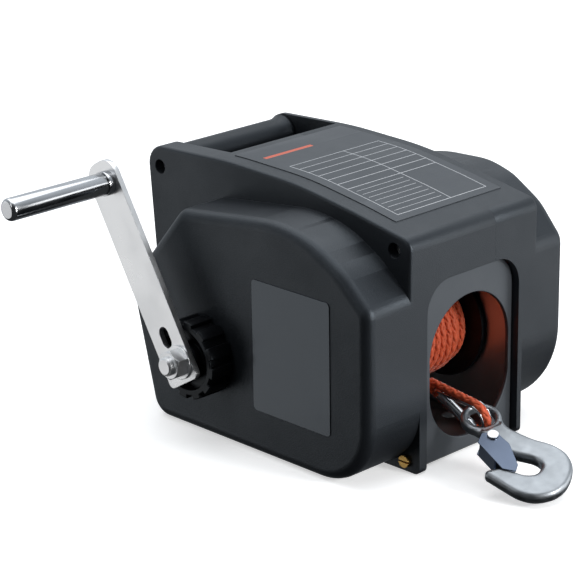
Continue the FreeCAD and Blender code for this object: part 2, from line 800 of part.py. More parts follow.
def handle_rod():
    """Steel tube inside the sleeve, with the shell screw running through it."""
    return tube(handle_left, handle_right, screw_back[0], screw_back[1], handle_rod_r, screw_shank_r + bolt_play)


def shell_screws():
    made = []
    head = -top_left_width + screw_bore_depth
    for y, z in (screw_front, screw_back):
        cap = rod(head - 4, head, y, z, screw_bore_r - 0.5).cut(hexagon(head - 5, head - 2, y, z, 4.0))
        shank = rod(head - 2, top_right_width - screw_cover - 1.0, y, z, screw_shank_r)
        made.append(cap.fuse(shank))
    return made


def power_gland():
    wall_y = back_wall_y(gland_z)
    body = tube_y(gland_x, gland_z, wall_y - 8, wall_y + 9, gland_hole_r - 0.1)
    collar = tube_y(gland_x, gland_z, wall_y + 0.05, wall_y + 3, 9.0)
    return body.fuse(collar).cut(tube_y(gland_x, gland_z, wall_y - 9, wall_y + 10, 4.0))


def remote_socket():
    wall_y = back_wall_y(socket_z)
    body = tube_y(socket_x, socket_z, wall_y - 12, wall_y + 2, socket_hole_r - 0.1)
    collar = tube_y(socket_x, socket_z, wall_y + 0.05, wall_y + 3, 11.0)
    return body.fuse(collar).cut(tube_y(socket_x, socket_z, wall_y - 6, wall_y + 10, 6.0))


def back_wall_y(z):
    """Outermost y of the sloping back wall just above height z."""
    return body_depth - 12 + 6.0 * (z + 12) / 70


def control_relay():
    box = block(-20, 24, 172, 206, 40, 78)
    edges = [e for e in box.Edges if e.BoundBox.ZLength > 30]
    box = box.makeFillet(3.0, edges)
    for x in (-10, 2, 14):
        box = box.fuse(Part.makeCylinder(3.0, 5, V(x, 189, 78), V(0, 0, 1)))
    return box


# ---------------------------------------------------------------- rope, thimble and hook
def unit(vector):
    return vector.multiply(1.0 / vector.Length)


hook_n = unit(V(hook_normal))
eye_u = unit(hook_eye - eye_apex)
eye_v = unit(hook_n - eye_u * hook_n.dot(eye_u))
eye_centre = eye_length - eye_bend_r


def teardrop(apex_u, radius, start_v=0.0):
    """Closed outline: two legs from the apex to a round end, in the local u-v plane."""
    centre = V(eye_centre, 0, 0)
    apex = V(apex_u, start_v, 0)
    reach = (centre - apex).Length
    lean = math.atan2(-start_v, eye_centre - apex_u) + math.asin(radius / reach)
    touch = V(eye_centre - radius * math.sin(lean), radius * math.cos(lean), 0)
    mirror = V(touch.x, -touch.y, 0)
    return apex, touch, mirror


def teardrop_face(apex_u, radius):
    apex, touch, mirror = teardrop(apex_u, radius)
    edges = [
        Part.makeLine(apex, touch),
        Part.Arc(touch, V(eye_centre + radius, 0, 0), mirror).toShape(),
        Part.makeLine(mirror, apex),
    ]
    return Part.Face(Part.Wire(edges))


def rope_eye():
    """Rope bent round the thimble, with its splice."""
    apex, touch, mirror = teardrop(0, eye_bend_r, rope_r * 0.9)
    start = V(apex.x, -apex.y, 0)
    path = Part.Wire([
        Part.makeLine(apex, touch),
        Part.Arc(touch, V(eye_length, 0, 0), mirror).toShape(),
        Part.makeLine(mirror, start),
    ])
    circle = Part.Wire([Part.makeCircle(rope_r, apex, touch - apex)])
    loop = in_frame(path.makePipeShell([circle], True, False), eye_apex, eye_u, eye_v)
    tail_dir = unit(tail_end - eye_apex)
    root = eye_apex - tail_dir * 4.0
    splice = Part.makeCone(rope_r * 1.9, rope_r + 0.05, splice_length + 3.7, root, tail_dir)
    return loop.fuse(splice)


def thimble():
    """Steel trough inside the rope eye."""
    inner_r = eye_bend_r - rope_r - 0.15 - thimble_thick
    leg_offset = thimble_thick * (eye_centre - thimble_apex) / inner_r
    band_out = teardrop_face(thimble_apex - leg_offset, inner_r + thimble_thick)
    band_in = teardrop_face(thimble_apex, inner_r)
    band = band_out.cut(band_in).extrude(V(0, 0, 2 * rope_r + 2 * thimble_thick))
    band.translate(V(0, 0, -rope_r - thimble_thick))
    parts = [band]
    flange_out = teardrop_face(5.0, eye_bend_r - 0.6)
    flange_in = teardrop_face(thimble_apex, inner_r)
    for z0 in (rope_r + 0.15, -rope_r - 0.15 - thimble_thick):
        flange = flange_out.cut(flange_in).extrude(V(0, 0, thimble_thick))
        flange.translate(V(0, 0, z0))
        parts.append(flange)
    solid = parts[0].fuse(parts[1:]).removeSplitter()
    return in_frame(solid, eye_apex, eye_u, eye_v)


image_right = V(0.7132, -0.7008, -0.0148)
hook_e1 = unit(image_right - hook_n * image_right.dot(hook_n))
hook_e2 = hook_n.cross(hook_e1)
hook_a = unit(hook_e1 * 0.512 - hook_e2 * 0.859)
hook_b = hook_n.cross(hook_a)

hook_outer = [(20, -10.5), (33, -16.6), (44, -24.3), (56, -27.2), (68, -22.6), (77.2, -11.5),
              (80, 0), (76.5, 12), (68.5, 19.2), (58.5, 22.8), (46, 26.6)]
hook_inner = [(42.2, 21.5), (44.5, 16), (50, 11.2), (56.8, 6.2), (59.6, -0.5), (55.5, -7.2),
              (48.5, -6.6), (38, 2.0), (27, 8.5), (17, 10.5)]


def curve_through(points):
    spline = Part.BSplineCurve()
    spline.interpolate([V(a, -b, 0) for a, b in points])
    return spline.toShape()


def hook_body():
    """Flat forged slip hook, modelled with its eye at the local origin."""
    tip_arc = Part.Arc(V(hook_outer[-1][0], -hook_outer[-1][1], 0), V(41.8, -25.6, 0),
                       V(hook_inner[0][0], -hook_inner[0][1], 0)).toShape()
    edges = [
        Part.makeLine(V(0, 10.0, 0), V(20, 10.5, 0)),
        curve_through(hook_outer),
        tip_arc,
        curve_through(hook_inner),
        Part.makeLine(V(17, -10.5, 0), V(0, -11.0, 0)),
        Part.makeLine(V(0, -11.0, 0), V(0, 10.0, 0)),
    ]
    outline = Part.Face(Part.Wire(edges))
    blade = outline.extrude(V(0, 0, hook_thick))
    blade.translate(V(0, 0, -hook_thick / 2))
    blade = blade.cut(Part.makeCylinder(hook_ring_r + 0.8, 40, V(0, 0, -20)))
    ring = Part.makeCylinder(hook_ring_r, hook_ring_thick, V(0, 0, -hook_ring_thick / 2))
    neck = outline.extrude(V(0, 0, hook_ring_thick))
    neck.translate(V(0, 0, -hook_ring_thick / 2))
    solid = blade.fuse([neck, ring]).removeSplitter()
    solid = solid.cut(Part.makeCylinder(hook_hole_r, 40, V(0, 0, -20)))
    solid = solid.cut(Part.makeCylinder(rivet_r, 40, V(rivet_a, -rivet_b, -20)))
    return in_frame(solid, hook_eye, hook_a, hook_b)


rivet_a = 20.0
rivet_b = 5.0
rivet_r = 2.0
latch_sheet = 0.8
latch_outline = [(14.5, 9.7), (18, 1.5), (31.4, 0.3), (49.4, 6.4), (53.5, 10.7), (47.4, 16.6), (20, 16.6)]


def local_prism(points, z0, z1):
    corners = [V(a, -b, z0) for a, b in points]
    corners.append(corners[0])
    return Part.Face(Part.makePolygon(corners)).extrude(V(0, 0, z1 - z0))


def hook_latch():
    """Sprung keeper folded from sheet: two cheeks and a web that closes the throat."""
    near = hook_thick / 2 + touch_gap
    far = near + latch_sheet
    top = local_prism(latch_outline, near, far)
    low = local_prism(latch_outline, -far, -near)
    web = local_prism([(22, 16.6), (39, 16.6), (39, 16.6 - latch_sheet), (22, 16.6 - latch_sheet)], -far, far)
    latch = top.fuse([low, web]).removeSplitter()
    latch = latch.cut(Part.makeCylinder(rivet_r + run_fit, 40, V(rivet_a, -rivet_b, -20)))
    return in_frame(latch, hook_eye, hook_a, hook_b)


def latch_rivet():
    far = hook_thick / 2 + touch_gap + latch_sheet
    pin = Part.makeCylinder(rivet_r, 2 * far + 0.4, V(rivet_a, -rivet_b, -far - 0.2))
    for z0 in (far + touch_gap, -far - touch_gap - 1.2):
        pin = pin.fuse(Part.makeCylinder(3.6, 1.2, V(rivet_a, -rivet_b, z0)))
    pin = pin.fuse(Part.makeCylinder(rivet_r, 2 * far + 2, V(rivet_a, -rivet_b, -far - 1)))
    return in_frame(pin, hook_eye, hook_a, hook_b)


# ---------------------------------------------------------------- rope tail
tail_gap = 0.4
splice_length = 6.0
wrap_r = rope_pack_r + rope_r + tail_gap
tail_start_x = -21.0
tail_turn = 36.0            # degrees round the drum from one point of the route to the next


def tail_points():
    """Route of the rope from the back of the drum, under it and out to the eye."""
    dy = drum_y - eye_apex.y
    dz = drum_z - eye_apex.z
    far = math.hypot(dy, dz)
    slope = math.atan2(dz, dy) - math.asin(wrap_r / far)
    reach = math.sqrt(far ** 2 - wrap_r ** 2)
    touch_angle = slope - math.pi / 2
    turn = math.radians(tail_turn)
    corner_r = wrap_r / math.cos(turn / 2)
    run = 2 * wrap_r * math.tan(turn / 2)
    points = []
    first = touch_angle + 3 * turn
    begin_y = drum_y + wrap_r * math.cos(first) - run / 2 * math.sin(first)
    begin_z = drum_z + wrap_r * math.sin(first) + run / 2 * math.cos(first)
    points.append(V(tail_start_x, begin_y, begin_z))
    for step in (2.5, 1.5, 0.5):
        angle = touch_angle + step * turn
        points.append(V(tail_start_x, drum_y + corner_r * math.cos(angle), drum_z + corner_r * math.sin(angle)))
    middle = reach - run / 2
    share = middle / reach
    points.append(V(tail_start_x + 1.2, eye_apex.y + middle * math.cos(slope), eye_apex.z
                    + middle * math.sin(slope) - 0.9 * share))
    points.append(V(eye_apex.x - 0.4, eye_apex.y + splice_length * math.cos(slope),
                    eye_apex.z + splice_length * math.sin(slope)))
    return points


tail_route = tail_points()
tail_end = tail_route[-1]


def rope_tail():
    """Tube along straight runs joined by the largest tangent arcs."""
    edges = []
    length = 0.0
    at = tail_route[0]
    for k in range(1, len(tail_route) - 1):
        here = tail_route[k]
        back = tail_route[k - 1] - here
        ahead = tail_route[k + 1] - here
        run = min(back.Length, ahead.Length)
        back.normalize()
        ahead.normalize()
        half_turn = (math.pi - back.getAngle(ahead)) / 2
        radius = 0.45 * run / math.tan(half_turn)
        start = here + back * (0.45 * run)
        end = here + ahead * (0.45 * run)
        bisector = back + ahead
        bisector.normalize()
        middle = here + bisector * (radius / math.cos(half_turn) - radius)
        edges.append(Part.LineSegment(at, start).toShape())
        edges.append(Part.Arc(start, middle, end).toShape())
        length += (start - at).Length + 2 * half_turn * radius
        print("rope tail radius", round(radius, 1), "turn", round(math.degrees(2 * half_turn), 1))
        at = end
    edges.append(Part.LineSegment(at, tail_route[-1]).toShape())
    length += (tail_route[-1] - at).Length
    path = Part.Wire(edges)
    circle = Part.Wire([Part.makeCircle(rope_r, tail_route[0], tail_route[1] - tail_route[0])])
    solid = path.makePipeShell([circle], True, False)
    expected = math.pi * rope_r ** 2 * length
    print("rope tail length", round(length, 1), "volume share", round(solid.Volume / expected, 4))
    print("rope tail points", [(round(p.x, 2), round(p.y, 2), round(p.z, 2)) for p in tail_route])
    return solid


def main():
    left, right = shells()
    save(left, "left_shell")
    save(right, "right_shell")
    save(fairlead_panel(), "fairlead_panel")
    save(side_label(), "side_label")
    save(top_label(body_profile(0.0)), "top_label")
    save(handle_bar(), "handle_bar")
    save(handle_rod(), "handle_rod")
    save(group(shell_screws()), "shell_screws")
    save(group(side_screws()), "side_screws")
    save(base_plate(), "base_plate")
    save(left_frame_plate(), "frame_plate_left")
    save(frame_plate(frame_right_x - frame_thick, motor_cap_r + touch_gap), "frame_plate_right")
    save(group(tie_rods()), "tie_rods")
    save(group(tie_bolts()), "tie_bolts")
    save(gear_plate(), "gear_plate")
    save(group(gear_posts()), "gear_posts")
    save(group(gear_screws()), "gear_screws")

    save(drum_spool(), "drum_spool")
    save(rope_pack(), "rope_pack")
    save(drum_shaft(), "drum_shaft")
    save(group(drum_clips()), "drum_clips")
    drum_bushes = [bush(frame_left_x, frame_left_x + frame_thick, drum_y, drum_z, drum_shaft_r),
                   bush(frame_right_x - frame_thick, frame_right_x, drum_y, drum_z, drum_shaft_r)]
    save(group(drum_bushes), "drum_bushes")

    drum_phase = 0.0
    to_clutch = math.atan2(clutch_z - drum_z, clutch_y - drum_y)
    pinion_phase = meshing_phase(to_clutch, drum_phase, drum_teeth, clutch_pinion_teeth, drum_module)
    clutch_phase = 0.0
    to_middle = math.radians(middle_angle)
    middle_phase = meshing_phase(to_middle, clutch_phase, clutch_gear_teeth, middle_pinion_teeth, clutch_module)
    wheel_phase = 0.0
    to_motor = math.radians(motor_angle)
    motor_phase = meshing_phase(to_motor, wheel_phase, middle_gear_teeth, motor_pinion_teeth, motor_module)

    wheel = gear(layer_a, drum_y, drum_z, drum_teeth, drum_module, drum_phase, drum_shaft_r,
                 14.0, frame_left_x - 0.6)
    save(lightened(wheel, layer_a, drum_y, drum_z, 33.0, 9.0, 6), "drum_gear")
    save(gear(layer_a, clutch_y, clutch_z, clutch_pinion_teeth, drum_module, pinion_phase,
              clutch_shaft_r), "clutch_pinion")
    wheel = gear(layer_b, clutch_y, clutch_z, clutch_gear_teeth, clutch_module, clutch_phase, clutch_shaft_r)
    save(lightened(wheel, layer_b, clutch_y, clutch_z, 23.0, 6.5, 5), "clutch_gear")
    save(gear(layer_b, middle_y, middle_z, middle_pinion_teeth, clutch_module, middle_phase, 5.0),
         "middle_pinion")
    save(gear(layer_c, middle_y, middle_z, middle_gear_teeth, motor_module, wheel_phase, 5.0), "middle_gear")
    save(rod(gear_plate_x[0], frame_left_x + frame_thick, middle_y, middle_z, 5.0), "middle_shaft")
    save(gear(layer_c, motor_y, motor_z, motor_pinion_teeth, motor_module, motor_phase, motor_shaft_r),
         "motor_pinion")

    save(clutch_shaft(), "clutch_shaft")
    save(clutch_knob(), "clutch_knob")
    save(crank_arm(), "crank_arm")
    save(tube(washer_out_x, arm_out_x, clutch_y, clutch_z, washer_r, clutch_thread_r), "crank_washer")
    save(crank_nut(), "crank_nut")
    save(grip_spindle(), "grip_spindle")
    save(crank_grip(), "crank_grip")
    save(tube(-bulge_left_x + 0.2, -bulge_left_x + wall, clutch_y, clutch_z, clutch_shaft_r + 3.2,
              clutch_shaft_r + run_fit), "shaft_seal")
    gear_bushes = []
    for x0, x1 in (gear_plate_x, (frame_left_x, frame_left_x + frame_thick)):
        gear_bushes.append(bush(x0, x1, clutch_y, clutch_z, clutch_shaft_r))
        gear_bushes.append(bush(x0, x1, middle_y, middle_z, 5.0))
        gear_bushes.append(bush(x0, x1, motor_y, motor_z, motor_shaft_r))
    save(group(gear_bushes), "gear_bushes")

    save(motor_can(), "motor_can")
    save(group(motor_magnets()), "motor_magnets")
    save(motor_end_cap(), "motor_end_cap")
    save(motor_armature(), "motor_armature")
    save(motor_shaft(), "motor_shaft")
    save(control_relay(), "control_relay")
    save(power_gland(), "power_gland")
    save(remote_socket(), "remote_socket")

    save(rope_tail(), "rope_tail")
    save(rope_eye(), "rope_eye")
    save(thimble(), "thimble")
    save(hook_body(), "hook_body")
    save(latch_rivet(), "latch_rivet")
    save(hook_latch(), "hook_latch")


main()
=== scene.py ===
"""Looks of the boat trailer winch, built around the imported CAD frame.  Metres."""

import json
import math

import bmesh
import bpy
from mathutils import Matrix, Vector


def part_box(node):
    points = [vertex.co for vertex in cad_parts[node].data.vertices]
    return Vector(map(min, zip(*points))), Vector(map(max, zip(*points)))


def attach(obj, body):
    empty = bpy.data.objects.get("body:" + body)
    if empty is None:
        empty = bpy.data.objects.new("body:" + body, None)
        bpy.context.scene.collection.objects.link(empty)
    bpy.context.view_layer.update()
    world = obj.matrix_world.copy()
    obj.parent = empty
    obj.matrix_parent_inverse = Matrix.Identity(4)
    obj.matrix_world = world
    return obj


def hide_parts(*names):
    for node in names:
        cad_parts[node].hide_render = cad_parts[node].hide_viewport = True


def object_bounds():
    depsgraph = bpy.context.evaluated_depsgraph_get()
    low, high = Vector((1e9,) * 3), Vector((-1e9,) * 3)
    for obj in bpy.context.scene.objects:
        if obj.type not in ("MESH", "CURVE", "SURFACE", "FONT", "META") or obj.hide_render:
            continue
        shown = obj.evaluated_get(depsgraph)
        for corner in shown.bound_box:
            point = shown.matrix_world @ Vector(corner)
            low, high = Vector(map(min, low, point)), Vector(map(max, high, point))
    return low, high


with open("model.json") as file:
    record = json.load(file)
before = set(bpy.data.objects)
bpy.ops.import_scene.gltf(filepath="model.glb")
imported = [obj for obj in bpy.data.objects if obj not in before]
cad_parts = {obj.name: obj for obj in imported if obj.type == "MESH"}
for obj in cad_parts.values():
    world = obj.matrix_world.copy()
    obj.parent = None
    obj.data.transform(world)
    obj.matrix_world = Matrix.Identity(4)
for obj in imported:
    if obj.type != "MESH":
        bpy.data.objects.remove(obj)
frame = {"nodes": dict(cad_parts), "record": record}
cad_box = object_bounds()
nodes = frame["nodes"]
MM = 0.001
CAMERA_PLACE = (-1.04979, -1.02475, 0.59916)
CAMERA_RIGHT = Vector((0.7132, -0.7008, -0.0148))
CAMERA_UP = Vector((0.2417, 0.2259, 0.9437))
CAMERA_LENS = 143.75
CENTRE = (0.0, -0.01, 0.09)
DRUM_Y = -0.052
DRUM_Z = 0.067


# ---------------------------------------------------------------- camera, light and floor
def make_camera():
    """Long lens from the crank side, in front and a little above."""
    right = CAMERA_RIGHT.normalized()
    up = (CAMERA_UP - right * CAMERA_UP.dot(right)).normalized()
    back = right.cross(up)
    camera = bpy.data.objects.new("camera", bpy.data.cameras.new("camera"))
    bpy.context.scene.collection.objects.link(camera)
    rotation = Matrix((right, up, back)).transposed().to_4x4()
    camera.matrix_world = Matrix.Translation(CAMERA_PLACE) @ rotation
    camera.data.sensor_width = 36.0
    camera.data.lens = CAMERA_LENS
    camera.data.clip_start = 0.05
    camera.data.clip_end = 50.0
    bpy.context.scene.camera = camera


def area_light(name, place, target, size, power):
    """White rectangular light that faces its target."""
    data = bpy.data.lights.new(name, "AREA")
    data.shape = "RECTANGLE"
    data.size = size[0]
    data.size_y = size[1]
    data.energy = power
    light = bpy.data.objects.new(name, data)
    bpy.context.scene.collection.objects.link(light)
    light.location = place
    light.rotation_mode = "QUATERNION"
    light.rotation_quaternion = (Vector(target) - Vector(place)).to_track_quat("-Z", "Y")


def make_world():
    """Dim room: darkest around the camera and below, palest behind the object and overhead."""
    world = bpy.data.worlds.new("studio")
    world.use_nodes = True
    tree = world.node_tree
    background = tree.nodes["Background"]
    direction = tree.nodes.new("ShaderNodeTexCoord").outputs["Generated"]
    away = tree.nodes.new("ShaderNodeVectorMath")
    away.operation = "DOT_PRODUCT"
    away.inputs[1].default_value = (0.55, 0.50, 0.67)
    tree.links.new(direction, away.inputs[0])
    ramp = tree.nodes.new("ShaderNodeMapRange")
    ramp.interpolation_type = "SMOOTHSTEP"
    ramp.inputs["From Min"].default_value = -0.35
    ramp.inputs["From Max"].default_value = 0.95
    ramp.inputs["To Min"].default_value = 0.035
    ramp.inputs["To Max"].default_value = 0.75
    tree.links.new(away.outputs["Value"], ramp.inputs["Value"])
    background.inputs["Color"].default_value = (0.88, 0.94, 1.0, 1.0)
    tree.links.new(ramp.outputs["Result"], background.inputs["Strength"])
    bpy.context.scene.world = world


def make_floor():
    """Pale floor at the object's lowest point, which lights nothing itself."""
    low = cad_box[0].z
    half = 6.0
    mesh = bpy.data.meshes.new("floor")
    mesh.from_pydata([(-half, -half, low), (half, -half, low), (half, half, low), (-half, half, low)],
                     [], [(0, 1, 2, 3)])
    floor = bpy.data.objects.new("floor", mesh)
    bpy.context.scene.collection.objects.link(floor)
    floor.visible_diffuse = False
    floor.visible_glossy = False
    floor.visible_shadow = False
    material = bpy.data.materials.new("floor")
    material.use_nodes = True
    shader = material.node_tree.nodes["Principled BSDF"]
    shader.inputs["Base Color"].default_value = (0.92, 0.92, 0.92, 1.0)
    shader.inputs["Roughness"].default_value = 0.9
    shader.inputs["Specular IOR Level"].default_value = 0.0
    shader.inputs["Emission Color"].default_value = (1.0, 1.0, 1.0, 1.0)
    shader.inputs["Emission Strength"].default_value = 0.5
    mesh.materials.append(material)


def make_studio():
    """Soft lights above and to the sides, and two small ones for the front and the rope mouth."""
    bpy.context.scene.view_settings.view_transform = "Standard"
    make_world()
    area_light("softbox_overhead", (0.25, 0.35, 2.1), CENTRE, (2.8, 2.8), 33.0)
    area_light("softbox_back_left", (-1.05, 1.15, -0.05), CENTRE, (1.1, 1.25), 3.4)
    area_light("softbox_front_right", (1.15, -1.05, 0.05), CENTRE, (0.9, 1.15), 5.2)
    area_light("strip_left", (-1.6, 0.25, 0.9), CENTRE, (0.25, 1.0), 1.8)
    area_light("key_front", (0.35, -1.7, 0.75), (0.0, -0.1, 0.06), (0.4, 0.4), 16.0)
    area_light("mouth_fill", (0.1, -1.4, 0.12), (0.0, -0.05, 0.065), (0.45, 0.45), 4.5)
    make_floor()


# ---------------------------------------------------------------- material helpers
class Finish:
    """A node material with small helpers for the nodes that every finish here shares."""

    def __init__(self, name, colour, roughness, metallic=0.0):
        self.material = bpy.data.materials.new(name)
        self.material.use_nodes = True
        self.tree = self.material.node_tree
        self.shader = self.tree.nodes["Principled BSDF"]
        self.shader.inputs["Metallic"].default_value = metallic
        self.shader.inputs["Roughness"].default_value = roughness
        self.shader.inputs["Base Color"].default_value = (*colour, 1.0)
        self.place = self.tree.nodes.new("ShaderNodeTexCoord").outputs["Object"]
        self.edge = self.tree.nodes.new("ShaderNodeBevel")
        self.edge.inputs["Radius"].default_value = 0.4 * MM

    def node(self, kind, **values):
        made = self.tree.nodes.new(kind)
        for key, value in values.items():
            setattr(made, key, value)
        return made

    def link(self, a, b):
        self.tree.links.new(a, b)

    def stretched(self, scale, turn=(0.0, 0.0, 0.0)):
        mapping = self.node("ShaderNodeMapping")
        mapping.inputs["Scale"].default_value = scale
        mapping.inputs["Rotation"].default_value = turn
        self.link(self.place, mapping.inputs["Vector"])
        return mapping.outputs["Vector"]

    def noise(self, scale, detail=2.0, vector=None):
        texture = self.node("ShaderNodeTexNoise")
        texture.inputs["Scale"].default_value = scale
        texture.inputs["Detail"].default_value = detail
        self.link(vector or self.place, texture.inputs["Vector"])
        return texture.outputs["Fac"]

    def cells(self, scale):
        texture = self.node("ShaderNodeTexVoronoi")
        texture.inputs["Scale"].default_value = scale
        self.link(self.place, texture.inputs["Vector"])
        return texture.outputs["Distance"]

    def mapped(self, value, low, high, out_low, out_high):
        made = self.node("ShaderNodeMapRange")
        made.inputs["From Min"].default_value = low
        made.inputs["From Max"].default_value = high
        made.inputs["To Min"].default_value = out_low
        made.inputs["To Max"].default_value = out_high
        self.link(value, made.inputs["Value"])
        return made.outputs["Result"]

    def mixed_colour(self, factor, first, second):
        mix = self.node("ShaderNodeMix", data_type="RGBA")
        self.link(factor, mix.inputs["Factor"])
        mix.inputs["A"].default_value = (*first, 1.0)
        mix.inputs["B"].default_value = (*second, 1.0)
        return mix.outputs["Result"]

    def vary_colour(self, factor, first, second):
        self.link(self.mixed_colour(factor, first, second), self.shader.inputs["Base Color"])

    def vary_roughness(self, factor, low, high):
        self.link(self.mapped(factor, 0.3, 0.7, low, high), self.shader.inputs["Roughness"])

    def bump(self, height, depth, strength=1.0, below=None):
        made = self.node("ShaderNodeBump")
        made.inputs["Distance"].default_value = depth
        made.inputs["Strength"].default_value = strength
        self.link(height, made.inputs["Height"])
        self.link(below or self.edge.outputs["Normal"], made.inputs["Normal"])
        self.link(made.outputs["Normal"], self.shader.inputs["Normal"])
        return made.outputs["Normal"]

    def math(self, operation, first, second):
        made = self.node("ShaderNodeMath", operation=operation)
        for socket, value in zip(made.inputs, (first, second)):
            if isinstance(value, float):
                socket.default_value = value
            else:
                self.link(value, socket)
        return made.outputs["Value"]

    def inside(self, x, x_low, x_high, y, y_low, y_high):
        """One inside the rectangle and zero outside it."""
        tests = [("GREATER_THAN", x, x_low), ("LESS_THAN", x, x_high),
                 ("GREATER_THAN", y, y_low), ("LESS_THAN", y, y_high)]
        mask = self.math(*tests[0])
        for test in tests[1:]:
            mask = self.math("MULTIPLY", mask, self.math(*test))
        return mask

    def print_over(self, masks, colour):
        """Prints a colour over the present one wherever a mask is one."""
        whole = masks[0]
        for mask in masks[1:]:
            whole = self.math("MAXIMUM", whole, mask)
        base = self.shader.inputs["Base Color"]
        below = base.links[0].from_socket
        mix = self.node("ShaderNodeMix", data_type="RGBA")
        colours = [socket for socket in mix.inputs if socket.type == "RGBA"]
        self.link(whole, mix.inputs["Factor"])
        self.link(below, colours[0])
        colours[1].default_value = (*colour, 1.0)
        self.link([socket for socket in mix.outputs if socket.type == "RGBA"][0], base)


def tinted(colour, factor):
    return tuple(c * factor for c in colour)


def moulded_plastic(name, colour, roughness, grain, depth, spread=0.08, specular=0.72):
    """Moulded plastic: fine spark grain, faint cloudiness and uneven gloss."""
    finish = Finish(name, colour, roughness)
    finish.shader.inputs["Specular IOR Level"].default_value = specular
    finish.shader.inputs["Specular Tint"].default_value = (0.78, 0.89, 1.0, 1.0)
    cloud = finish.noise(14.0, 3.0)
    finish.vary_colour(cloud, tinted(colour, 0.86), tinted(colour, 1.16))
    finish.vary_roughness(finish.noise(38.0, 4.0), roughness - spread / 2, roughness + spread / 2)
    soft = finish.bump(finish.noise(60.0, 2.0), 0.00008, 0.5)
    finish.bump(finish.noise(grain, 2.0), depth, 1.0, below=soft)
    return finish


TABLE_ROWS = 6
NOTE_ROWS = 8


def printed_label(name, colour, roughness):
    """Label film with a ruled table: rows, a column line, a box below it and one plain orange bar."""
    finish = moulded_plastic(name, colour, roughness, 2600.0, 0.00001)
    split = finish.node("ShaderNodeSeparateXYZ")
    finish.link(finish.place, split.inputs["Vector"])
    x, y = split.outputs["X"], split.outputs["Y"]
    left, divider, right = -42.0 * MM, 8.0 * MM, 42.0 * MM
    top, bottom, foot = 8.0 * MM, -44.0 * MM, -88.0 * MM
    line = 0.5 * MM
    white = [finish.inside(x, left, right, y, edge, edge + line) for edge in (bottom, foot, top)]
    white += [finish.inside(x, edge, edge + line, y, foot, top + line) for edge in (left, right)]
    white.append(finish.inside(x, divider, divider + line, y, foot, top))
    for row in range(1, TABLE_ROWS):
        edge = top + (bottom - top) * row / TABLE_ROWS
        white.append(finish.inside(x, left, right, y, edge, edge + line))
    for row in range(1, NOTE_ROWS):
        edge = bottom + (foot - bottom) * row / NOTE_ROWS
        white.append(finish.inside(x, left + 3 * MM, divider - 3 * MM, y, edge, edge + 0.7 * line))
    finish.print_over(white, (0.55, 0.56, 0.58))
    finish.print_over([finish.inside(x, left, 2.0 * MM, y, 30.0 * MM, 33.5 * MM)], (0.60, 0.10, 0.04))
    return finish


def plated_steel(name, colour, roughness, scale=(60.0, 60.0, 600.0), turn=(0.0, 0.0, 0.0)):
    """Plated or brushed metal: fine drawn lines, patchy gloss and faint staining."""
    finish = Finish(name, colour, roughness, metallic=1.0)
    lines = finish.noise(6.0, 4.0, finish.stretched(scale, turn))
    patches = finish.noise(45.0, 4.0)
    finish.vary_colour(patches, tinted(colour, 0.88), tinted(colour, 1.08))
    finish.vary_roughness(patches, roughness - 0.06, roughness + 0.08)
    finish.bump(lines, 0.00002, 0.6)
    return finish


def cast_metal(name, colour, roughness):
    """Plated forging: softly uneven skin with fine pits."""
    finish = Finish(name, colour, roughness, metallic=1.0)
    finish.vary_colour(finish.noise(70.0, 4.0), tinted(colour, 0.8), tinted(colour, 1.1))
    finish.vary_roughness(finish.noise(160.0, 4.0), roughness - 0.07, roughness + 0.1)
    soft = finish.bump(finish.noise(220.0, 3.0), 0.00012, 0.5)
    finish.bump(finish.cells(900.0), 0.00006, 0.4, below=soft)
    return finish


def fibre_rope(name, colour):
    """Braid of fine filaments: sheen, streaks along the strand and darker hollows."""
    finish = Finish(name, colour, 0.62)
    streak = finish.noise(900.0, 3.0)
    finish.vary_colour(finish.noise(240.0, 3.0), tinted(colour, 0.62), tinted(colour, 1.18))
    finish.vary_roughness(streak, 0.5, 0.75)
    finish.bump(streak, 0.00018, 0.7)
    finish.shader.inputs["Sheen Weight"].default_value = 0.35
    finish.shader.inputs["Sheen Roughness"].default_value = 0.4
    return finish


